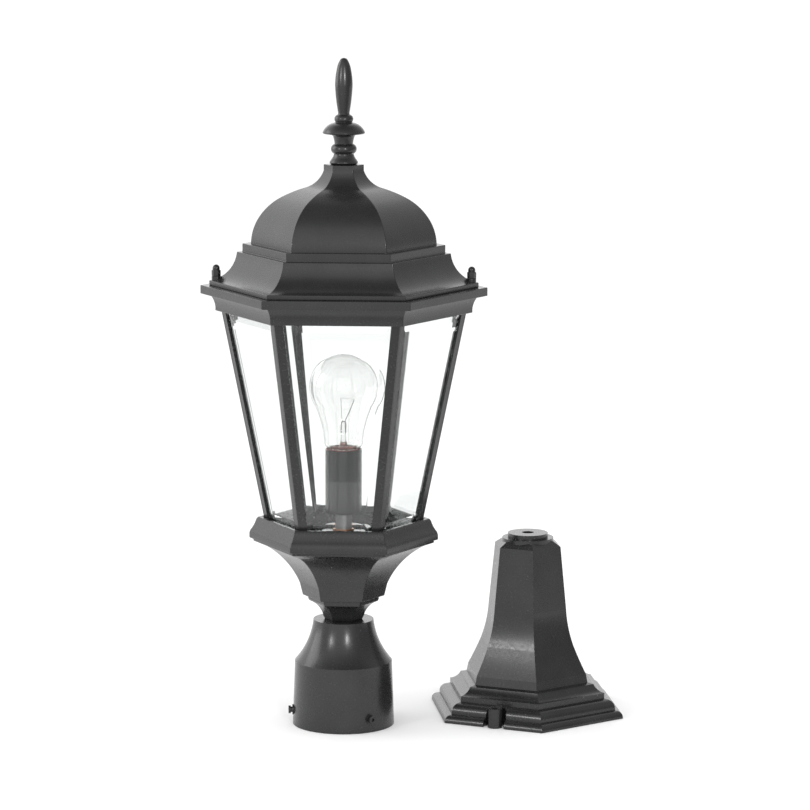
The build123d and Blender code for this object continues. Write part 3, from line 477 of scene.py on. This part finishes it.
def sampled(outline, step=OUTLINE_STEP):
    """Outline with its bowed pieces turned into short straight ones."""
    points = [tuple(outline[0][:2])]
    for mark in outline[1:]:
        here, there = points[-1], tuple(mark[:2])
        if len(mark) == 3:
            length = math.dist(here, there)
            points += arc(here, there, mark[2], max(LEAST_ARC_STEPS, int(length / step)))
        elif math.dist(here, there) > TINY:
            points.append(there)
    return points


def lifted(outline, height):
    """Outline raised by a height."""
    return [(mark[0], mark[1] + height, *mark[2:]) for mark in outline]


def backwards(points):
    """Points in the opposite order."""
    return list(reversed(points))


def rounded_corner(before, here, after, radius):
    """Short curve that takes a corner off, or the corner itself where it turns little."""
    mid = Vector(here)
    back, ahead = Vector(before) - mid, Vector(after) - mid
    if back.length < TINY or ahead.length < TINY:
        return [tuple(here)]
    turn = math.pi - back.angle(ahead)
    if math.degrees(turn) < EASED_LEAST_TURN:
        return [tuple(here)]
    reach = min(radius * math.tan(turn / 2), back.length * EASED_REACH, ahead.length * EASED_REACH)
    first = mid + back.normalized() * reach
    last = mid + ahead.normalized() * reach
    curve = []
    for step in range(EASED_STEPS + 1):
        t = step / EASED_STEPS
        curve.append(tuple(first * (1 - t) ** 2 + mid * 2 * t * (1 - t) + last * t * t))
    return curve


def eased(points, radius, closed=True):
    """Outline with its sharp corners rounded, as a cast or moulded edge is."""
    made = []
    count = len(points)
    for i, here in enumerate(points):
        is_end = not closed and i in (0, count - 1)
        if is_end or abs(here[0]) < TINY:
            made.append(tuple(here))
        else:
            made += rounded_corner(points[i - 1], here, points[(i + 1) % count], radius)
    return made


def thinned(points, wall):
    """Outline drawn in by a wall along its own normals, down to its last point on the axis."""
    made = []
    for i, here in enumerate(points):
        before = Vector(points[max(i - 1, 0)])
        after = Vector(points[min(i + 1, len(points) - 1)])
        way = (after - before).normalized()
        inner = Vector(here) + Vector((-way.y, way.x)) * wall
        made.append((max(inner.x, 0.0), inner.y))
    made[-1] = (0.0, points[-1][1] - wall)
    return made


# ---------------------------------------------------------------- mesh helpers
def put_on(piece, body, nodes):
    """Let a piece ride on its body and stand for its CAD nodes, which it hides."""
    bpy.context.scene.collection.objects.link(piece)
    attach(piece, body)
    if nodes:
        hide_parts(*nodes)


def finish_mesh(name, bm, look, body, nodes, angle=SMOOTH_ANGLE):
    """Turn a bmesh into a piece: smooth, sharp where it turns hard, riding on its body."""
    bmesh.ops.remove_doubles(bm, verts=bm.verts, dist=1e-7)
    bmesh.ops.recalc_face_normals(bm, faces=bm.faces)
    mesh = bpy.data.meshes.new(name)
    bm.to_mesh(mesh)
    bm.free()
    for face in mesh.polygons:
        face.use_smooth = True
    mesh.set_sharp_from_angle(angle=math.radians(angle))
    mesh.materials.append(look)
    piece = bpy.data.objects.new(name, mesh)
    weighted = piece.modifiers.new("weighted", "WEIGHTED_NORMAL")
    weighted.keep_sharp = True
    weighted.weight = WEIGHT_OF_NORMALS
    put_on(piece, body, nodes)


def hex_ring(radius, round_r):
    """Hexagon of a corner radius with its corners rounded, as (x, y) points."""
    round_r = min(round_r, radius * 0.5)
    points = []
    for angle in CORNERS:
        outward = Vector((math.cos(angle), math.sin(angle)))
        centre = outward * (radius - round_r / COS30)
        for step in range(ARRIS_STEPS + 1):
            turn = angle + math.radians(-30 + 60 * step / ARRIS_STEPS)
            points.append(centre + Vector((math.cos(turn), math.sin(turn))) * round_r)
    return points


def round_ring(radius, steps):
    """Circle as (x, y) points, or its one point where it lies on the axis."""
    if radius < TINY:
        return [Vector((0.0, 0.0))]
    turns = [2 * math.pi * step / steps for step in range(steps)]
    return [Vector((radius * math.cos(turn), radius * math.sin(turn))) for turn in turns]


def bridge(bm, lower, upper):
    """Faces between two rings of vertices, either of which may be a single one."""
    count = max(len(lower), len(upper))
    for i in range(count):
        below = [lower[k % len(lower)] for k in (i, (i + 1) % count)]
        above = [upper[k % len(upper)] for k in ((i + 1) % count, i)]
        corners = list(dict.fromkeys(below + above))
        if len(corners) > 2:
            bm.faces.new(corners)


def skin(bm, levels, centre):
    """Closed skin over rings of (x, y) points, each given with its height; the last meets the first."""
    rings = []
    for points, z in levels:
        places = [((point.x + centre[0]) * MM, (point.y + centre[1]) * MM, z * MM) for point in points]
        rings.append([bm.verts.new(place) for place in places])
    for lower, upper in zip(rings, rings[1:] + rings[:1]):
        bridge(bm, lower, upper)


def hex_body(bm, section, round_r, centre=(0.0, 0.0)):
    """Hexagonal casting whose section is a closed list of (corner radius, height)."""
    skin(bm, [(hex_ring(radius, round_r), z) for radius, z in section], centre)


def round_body(bm, section, steps=TURNED_STEPS, centre=(0.0, 0.0)):
    """Turned piece whose section is a closed list of (radius, height)."""
    skin(bm, [(round_ring(radius, steps), z) for radius, z in section], centre)


def tube_along(name, points, radius, body, nodes):
    """Round tungsten wire along points given in millimetres."""
    curve = bpy.data.curves.new(name, "CURVE")
    curve.dimensions = "3D"
    curve.bevel_depth = radius * MM
    curve.bevel_resolution = 4
    curve.use_fill_caps = True
    spline = curve.splines.new("POLY")
    spline.points.add(len(points) - 1)
    for point, place in zip(spline.points, points):
        point.co = (place[0] * MM, place[1] * MM, place[2] * MM, 1.0)
    spline.use_smooth = True
    curve.materials.append(TUNGSTEN)
    put_on(bpy.data.objects.new(name, curve), body, nodes)


def smooth_path(points):
    """Points along a smooth curve through the given ones."""
    made = []
    for i in range(len(points) - 1):
        p0 = Vector(points[max(i - 1, 0)])
        p1 = Vector(points[i])
        p2 = Vector(points[i + 1])
        p3 = Vector(points[min(i + 2, len(points) - 1)])
        for step in range(PATH_STEPS):
            t = step / PATH_STEPS
            a = 2 * p1 + (p2 - p0) * t
            b = (2 * p0 - 5 * p1 + 4 * p2 - p3) * t * t
            c = (3 * p1 - p0 - 3 * p2 + p3) * t ** 3
            made.append((a + b + c) / 2)
    made.append(Vector(points[-1]))
    return made


def helix(start, end, radius, pitch):
    """Points of a coil wound round the line from start to end."""
    start, end = Vector(start), Vector(end)
    way = end - start
    length = way.length
    way.normalize()
    side = way.orthogonal().normalized()
    other = way.cross(side)
    count = int(length / pitch * COIL_STEPS)
    made = []
    for step in range(count + 1):
        turn = 2 * math.pi * step / COIL_STEPS
        round_way = side * math.cos(turn) + other * math.sin(turn)
        made.append(start + way * (length * step / count) + round_way * radius)
    return made


# ---------------------------------------------------------------- castings and nuts
def casting(name, section, node, body):
    """Hexagonal casting that stands for its CAD node."""
    bm = bmesh.new()
    hex_body(bm, eased(sampled(section), EDGE), ARRIS)
    finish_mesh(name, bm, BLACK, body, [node])


def body_cup():
    """Neck, plate and cup in one hollow casting."""
    section = NECK_AND_CUP + backwards(sampled(CUP_INSIDE)) + [(NIPPLE_HOLE_R, CUP_FOOT)]
    casting("cup_casting", section, "body_cup", "lantern")


def roof_section():
    """Closed section of the roof bell, hollow below, with the finial's hole at its top."""
    outside = sampled([(ROOF_FOOT_R, ROOF)] + ROOF_SHAPE)
    inside = [(r - ROOF_WALL, z - ROOF_WALL) for r, z in sampled(ROOF_SHAPE)]
    inside = [point for point in inside if point[0] <= ROOF_MOUTH_R]
    throat = [(ROOF_MOUTH_R, inside[0][1] - 1.0), (ROOF_MOUTH_R, ROOF)]
    hole = [(FINIAL_HOLE_R, FINIAL), (FINIAL_HOLE_R, FINIAL - ROOF_WALL)]
    return outside + hole + backwards(inside) + throat


def roof():
    """Roof bell with the two lugs under the cap nuts."""
    bm = bmesh.new()
    hex_body(bm, eased(roof_section(), EDGE), ARRIS)
    foot = ROOF + 1
    lug = eased([(LUG_R, foot), (LUG_R, LUG_TOP), (LUG_HOLE_R, LUG_TOP), (LUG_HOLE_R, foot)], LUG_EDGE)
    for side in (1, -1):
        round_body(bm, lug, SMALL_STEPS, (side * LUG_X, 0.0))
        rib_block(bm, side)
    finish_mesh("roof_bell", bm, BLACK, "roof_unit", ["roof"])


def rib_block(bm, side):
    """Rib from a lug back to the roof's skirt."""
    low = Vector((side * RIB_START, -RIB_HALF_WIDTH, LIP - 0.5))
    high = Vector((side * RIB_END, RIB_HALF_WIDTH, LUG_TOP))
    made = bmesh.ops.create_cube(bm, size=1.0)["verts"]
    middle = (low + high) / 2
    for vert in made:
        for axis in range(3):
            vert.co[axis] = (middle[axis] + vert.co[axis] * abs(high[axis] - low[axis])) * MM
    edges = list({edge for vert in made for edge in vert.link_edges})
    bmesh.ops.bevel(bm, geom=edges, offset=LUG_EDGE * MM, segments=2, affect="EDGES", profile=0.5)


def finial():
    """Turned finial."""
    outline = lifted(sampled(FINIAL_SHAPE, FINE_STEP), FINIAL)
    section = eased(outline, FINIAL_EDGE, closed=False) + [(0.0, FINIAL)]
    bm = bmesh.new()
    round_body(bm, section, MIDDLE_STEPS)
    finish_mesh("finial_turning", bm, BLACK, "roof_unit", ["finial"])


def cap_nut(side, node, body):
    """Domed nut: hexagon with chamfered corners under a dome."""
    centre = (side * LUG_X, 0.0)
    bm = bmesh.new()
    hex_body(bm, NUT_HEXAGON, NUT_ARRIS, centre)
    dome = [(NUT_BORE_R, NUT_DOME_FOOT), (NUT_DOME_R, NUT_SHOULDER), (NUT_DOME_R, NUT_DOME_CENTRE)]
    for degrees in range(NUT_DOME_STEP, 90, NUT_DOME_STEP):
        turn = math.radians(degrees)
        dome.append((NUT_DOME_R * math.cos(turn), NUT_DOME_CENTRE + NUT_DOME_R * math.sin(turn)))
    dome += [(0.0, NUT_DOME_CENTRE + NUT_DOME_R), (0.0, NUT_BORE_TOP), (NUT_BORE_R, NUT_BORE_TOP)]
    round_body(bm, dome, SMALL_STEPS, centre)
    finish_mesh(node + "_domed", bm, HARDWARE, body, [node])


# ---------------------------------------------------------------- lamp and holder
def frame_top(node):
    """Height of a CAD node's top in millimetres."""
    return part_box(node)[1].z / MM


def lamp_outline():
    """Outside of the lamp's envelope above its cap."""
    rim = frame_top("lamp_cap")
    belly = rim + LAMP_BELLY
    points = sampled(lifted(LAMP_FLANK, rim), LAMP_STEP)
    first = math.asin(-LAMP_FLANK_DROP / LAMP_R)
    for step in range(1, LAMP_CROWN_STEPS):
        turn = first + (math.pi / 2 - first) * step / LAMP_CROWN_STEPS
        points.append((LAMP_R * math.cos(turn), belly + LAMP_R * math.sin(turn)))
    points.append((0.0, belly + LAMP_R))
    return points


def lamp_envelope():
    """Thin clear shell, open only where its neck is sealed in the cap."""
    outer = lamp_outline()
    inner = thinned(outer, LAMP_WALL)
    bm = bmesh.new()
    round_body(bm, outer + backwards(inner))
    finish_mesh("lamp_bulb", bm, LAMP_GLASS, "lamp", ["lamp_envelope"], GLASS_ANGLE)


def lamp_stem(foot):
    """Glass stem with its pinched head."""
    bm = bmesh.new()
    round_body(bm, sampled(lifted(STEM_SHAPE, foot), FINE_STEP), SMALL_STEPS)
    finish_mesh("lamp_glass_stem", bm, LAMP_GLASS, "lamp", ["lamp_stem"], GLASS_ANGLE)


def lamp_wires(top):
    """Support wires and the coiled filament between their tips."""
    left, right = [[(x, 0.0, top + rise) for x, rise in wire] for wire in (WIRE_LEFT, WIRE_RIGHT)]
    tube_along("lamp_wire_left", smooth_path(left), WIRE_LEFT_R, "lamp", ["lamp_supports"])
    tube_along("lamp_wire_right", smooth_path(right), WIRE_RIGHT_R, "lamp", ())
    coil = helix(left[-1], right[-1], COIL_R, COIL_PITCH)
    tube_along("lamp_coil", coil, COIL_WIRE_R, "lamp", ["lamp_filament"])


def lamp_mount():
    """Glass stem, its wires and the coiled filament, on the cement in the cap."""
    rim = frame_top("lamp_cap")
    foot = rim + STEM_FOOT
    lamp_stem(foot)
    lamp_wires(foot + STEM_WIRES)
    bm = bmesh.new()
    round_body(bm, lifted(CEMENT_PLUG, rim), PLUG_STEPS)
    finish_mesh("lamp_cement", bm, FIBRE, "lamp", ())


def holder_liner():
    """Fibre liner of the lamp holder with the collar that shows round the lamp's neck."""
    low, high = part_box("socket_liner")
    foot, outer = low.z / MM, high.x / MM
    inner = outer - LINER_WALL
    top = frame_top("socket_sleeve")
    section = [(inner, foot), (outer, foot), (outer, top), (outer - COLLAR_CHAMFER, top + COLLAR_TOP)]
    section += [(COLLAR_LIP_R, top + COLLAR_LIP_TOP), (COLLAR_LIP_R, top + COLLAR_LIP_FOOT)]
    section += [(inner, top + COLLAR_FOOT)]
    bm = bmesh.new()
    round_body(bm, eased(section, COLLAR_EDGE), MIDDLE_STEPS)
    finish_mesh("liner_collar", bm, FIBRE, "lantern", ["socket_liner"])


# ---------------------------------------------------------------- CAD nodes
def dress_cad():
    """Finish of every CAD node that is still shown, from its material slot in the record."""
    for part in frame["record"]["subparts"]:
        piece = frame["nodes"][part["node"]]
        piece.data.materials.clear()
        finish = POLISHED.get(part["node"], SLOTS[part["material_slot"]])
        piece.data.materials.append(finish)


def soften_cad(names, width, segments):
    """Small round on the edges of CAD nodes that are shown as they are."""
    for name in names:
        piece = frame["nodes"][name]
        bevel = piece.modifiers.new("edge", "BEVEL")
        bevel.width = width * MM
        bevel.segments = segments
        bevel.limit_method = "ANGLE"
        bevel.angle_limit = math.radians(CAD_EDGE_ANGLE)
        bevel.use_clamp_overlap = True
        weighted = piece.modifiers.new("weighted", "WEIGHTED_NORMAL")
        weighted.keep_sharp = True


# ---------------------------------------------------------------- camera, floor, light
def camera():
    """Camera at the photograph's place and angle."""
    data = bpy.data.cameras.new("camera")
    data.lens = LENS
    data.sensor_width = SENSOR
    data.clip_end = FAR_CLIP
    eye = bpy.data.objects.new("camera", data)
    eye.location = EYE
    pan = Matrix.Rotation(math.radians(EYE_PAN), 4, "Z")
    tilt = Matrix.Rotation(math.radians(EYE_TILT), 4, "X")
    roll = Matrix.Rotation(math.radians(EYE_ROLL), 4, "Z")
    eye.rotation_euler = (pan @ tilt @ roll).to_euler()
    bpy.context.scene.collection.objects.link(eye)
    bpy.context.scene.camera = eye


def softbox(name, place, target, size, power):
    """Rectangular light looking at a point."""
    data = bpy.data.lights.new(name, "AREA")
    data.shape = "RECTANGLE"
    data.size, data.size_y = size
    data.energy = power
    lamp = bpy.data.objects.new(name, data)
    lamp.location = place
    way = Vector(target) - Vector(place)
    lamp.rotation_euler = way.to_track_quat("-Z", "Y").to_euler()
    bpy.context.scene.collection.objects.link(lamp)


def floor_look():
    """Plain matt pale finish of the table top."""
    made, tree, out = material("pale_floor")
    body = add(tree, "ShaderNodeBsdfPrincipled", Roughness=FLOOR_ROUGH, Specular_IOR_Level=FLOOR_SPECULAR)
    low, high = FLOOR_GREYS
    wander(tree, body, "Base Color", noise(tree, FLOOR_SCALE, 2.0), grey(low), grey(high))
    link(tree, body, "BSDF", out, "Surface")
    return made


def floor():
    """Plain pale table top, whose front edge is below the picture."""
    bm = bmesh.new()
    ends = [(-TABLE_REACH, TABLE_FRONT), (TABLE_REACH, TABLE_FRONT)]
    ends += [(TABLE_REACH, TABLE_REACH), (-TABLE_REACH, TABLE_REACH)]
    bm.faces.new([bm.verts.new((x, y, 0.0)) for x, y in ends])
    mesh = bpy.data.meshes.new("floor")
    bm.to_mesh(mesh)
    bm.free()
    mesh.materials.append(floor_look())
    ground = bpy.data.objects.new("floor", mesh)
    ground.location = (0.0, 0.0, TABLE_Z)
    bpy.context.scene.collection.objects.link(ground)


def room(tree):
    """Surround that polished surfaces see, as the product of its three brightness ramps."""
    place = add(tree, "ShaderNodeTexCoord")
    split = add(tree, "ShaderNodeSeparateXYZ")
    link(tree, place, "Generated", split, "Vector")
    product = None
    for axis, stops in (("Y", ROOM_DEPTH), ("X", ROOM_WIDTH), ("Z", ROOM_HEIGHT)):
        span = add(tree, "ShaderNodeMapRange", From_Min=-1.0)
        link(tree, split, axis, span, "Value")
        share = ramp(tree, span, "Result", [(mark, grey(value)) for mark, value in stops])
        if product is None:
            product = share
            continue
        both = add(tree, "ShaderNodeMixRGB", blend_type="MULTIPLY", Fac=1.0)
        link(tree, product, "Color", both, "Color1")
        link(tree, share, "Color", both, "Color2")
        product = both
    return product


def world():
    """White surround, of which polished surfaces see less to the right and overhead."""
    sky = bpy.data.worlds.new("surround")
    sky.use_nodes = True
    tree = sky.node_tree
    back = tree.nodes["Background"]
    back.inputs["Strength"].default_value = SURROUND_STRENGTH
    path = add(tree, "ShaderNodeLightPath")
    lit = add(tree, "ShaderNodeMixRGB", Color1=BACKDROP, Color2=WHITE)
    link(tree, path, "Is Diffuse Ray", lit, "Fac")
    seen = add(tree, "ShaderNodeMixRGB")
    link(tree, path, "Is Glossy Ray", seen, "Fac")
    link(tree, lit, "Color", seen, "Color1")
    link(tree, room(tree), "Color", seen, "Color2")
    link(tree, seen, "Color", back, "Color")
    bpy.context.scene.world = sky


dress_cad()
body_cup()
casting("bottom_ring", BOTTOM_FRAME, "bottom_frame", "lantern")
casting("top_ring", TOP_FRAME, "top_frame", "lantern")
roof()
finial()
cap_nut(1, "cap_nut_right", "cap_nut_r")
cap_nut(-1, "cap_nut_left", "cap_nut_l")
lamp_envelope()
lamp_mount()
holder_liner()
for names, width, segments in SOFT_EDGES:
    soften_cad(names, width, segments)
camera()
world()
for light in SOFTBOXES:
    softbox(*light)
floor()
bpy.context.scene.view_settings.view_transform = "Standard"
